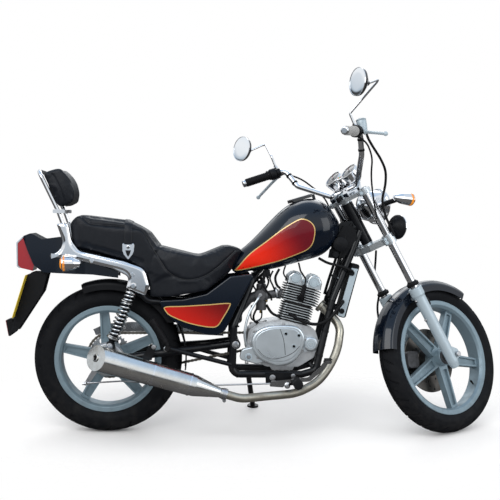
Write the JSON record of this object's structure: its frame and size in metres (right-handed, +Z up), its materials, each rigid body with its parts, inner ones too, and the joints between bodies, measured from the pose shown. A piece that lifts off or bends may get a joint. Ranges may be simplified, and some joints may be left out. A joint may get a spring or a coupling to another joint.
{
  "type": "cruiser motorcycle",
  "caption": "Small cruiser motorcycle with stepped seat, backrest and one exhaust, leaning on its side stand.",
  "frame": {"origin": "middle of the underside, on the ground", "axes": "+X forward along the motorcycle, +Y to its left, +Z up"},
  "size_m": [2.0502, 0.7518, 1.4809],
  "materials": {
    "blue_black_paint": "gloss",
    "black_paint": "satin",
    "chrome": "polished",
    "exhaust_steel": "tarnished",
    "cast_aluminium": "cast",
    "black_aluminium": "painted",
    "steel": "machined",
    "tyre": "matt",
    "rubber": "matt",
    "seat_cover": "grained",
    "black_plastic": "moulded",
    "red_lens": "clear",
    "yellow_plate": "satin"
  },
  "bodies": {
    "chassis": {"rear_frame": "black_paint", "swingarm": "black_paint", "rear_axle": "steel", "swing_pivot": "steel", "rear_brake": "cast_aluminium", "drive_chain": "steel", "chain_guard": "chrome", "shock_absorbers": "chrome", "fuel_tank": "blue_black_paint", "seat": "seat_cover", "seat_strap": "seat_cover", "side_struts": "chrome", "backrest_frame": "chrome", "backrest_pad": "seat_cover", "tail": "blue_black_paint", "rear_fender": "black_paint", "tail_lamp": "red_lens", "plate_bracket": "black_paint", "number_plate": "yellow_plate", "rear_turn_signals": "chrome", "side_panels": "blue_black_paint", "air_box": "black_paint", "crankcase": "cast_aluminium", "clutch_cover": "cast_aluminium", "generator_cover": "cast_aluminium", "cylinder": "black_aluminium", "cylinder_head": "black_aluminium", "cam_covers": "cast_aluminium", "carburettor": "cast_aluminium", "oil_cooler": "black_aluminium", "engine_pipes": "exhaust_steel", "spark_lead": "rubber", "exhaust_pipe": "exhaust_steel", "muffler": "exhaust_steel", "foot_controls_right": "black_paint", "foot_controls_left": "black_paint", "pillion_pegs": "black_paint", "frame": "black_paint"},
    "rear_wheel": {"rear_wheel": "cast_aluminium", "rear_tyre": "tyre", "rear_sprocket": "steel"},
    "fork": {"steering_yokes": "black_paint", "fork_legs": "cast_aluminium", "front_axle": "steel", "front_fender": "blue_black_paint", "handlebar": "chrome", "grips": "rubber", "hand_controls": "black_plastic", "mirrors": "chrome", "instruments": "chrome", "headlamp": "chrome", "front_turn_signals": "chrome", "horn": "black_plastic", "brake_caliper": "cast_aluminium", "front_cables": "rubber"},
    "front_wheel": {"front_wheel": "cast_aluminium", "front_tyre": "tyre", "brake_disc": "steel"},
    "side_stand": {"side_stand": "black_paint"},
    "fuel_cap": {"fuel_cap": "black_paint"}
  },
  "joints": [
    {"name": "rear_wheel_spin", "type": "hinge", "parent": "chassis", "child": "rear_wheel", "pos_m": [-0.61785, -0.1007, 0.29718], "axis": [0, 0.9924, -0.1231], "continuous": true},
    {"name": "steering", "type": "hinge", "parent": "chassis", "child": "fork", "pos_m": [0.43906, -0.04182, 0.77195], "axis": [-0.4798, 0.108, 0.8707], "range_deg": [-69.88, 0]},
    {"name": "front_wheel_spin", "type": "hinge", "parent": "fork", "child": "front_wheel", "pos_m": [0.75143, -0.07125, 0.29035], "axis": [-0.5025, 0.7797, -0.3736], "continuous": true},
    {"name": "side_stand_hinge", "type": "hinge", "parent": "chassis", "child": "side_stand", "pos_m": [-0.04285, 0.01882, 0.22089], "axis": [0.0504, 0.7874, 0.6144], "range_deg": [0, 91]},
    {"name": "fuel_cap_hinge", "type": "hinge", "parent": "chassis", "child": "fuel_cap", "pos_m": [0.21078, -0.01812, 0.96302], "axis": [0, 0.9924, -0.1231], "range_deg": [0, 90]}
  ]
}
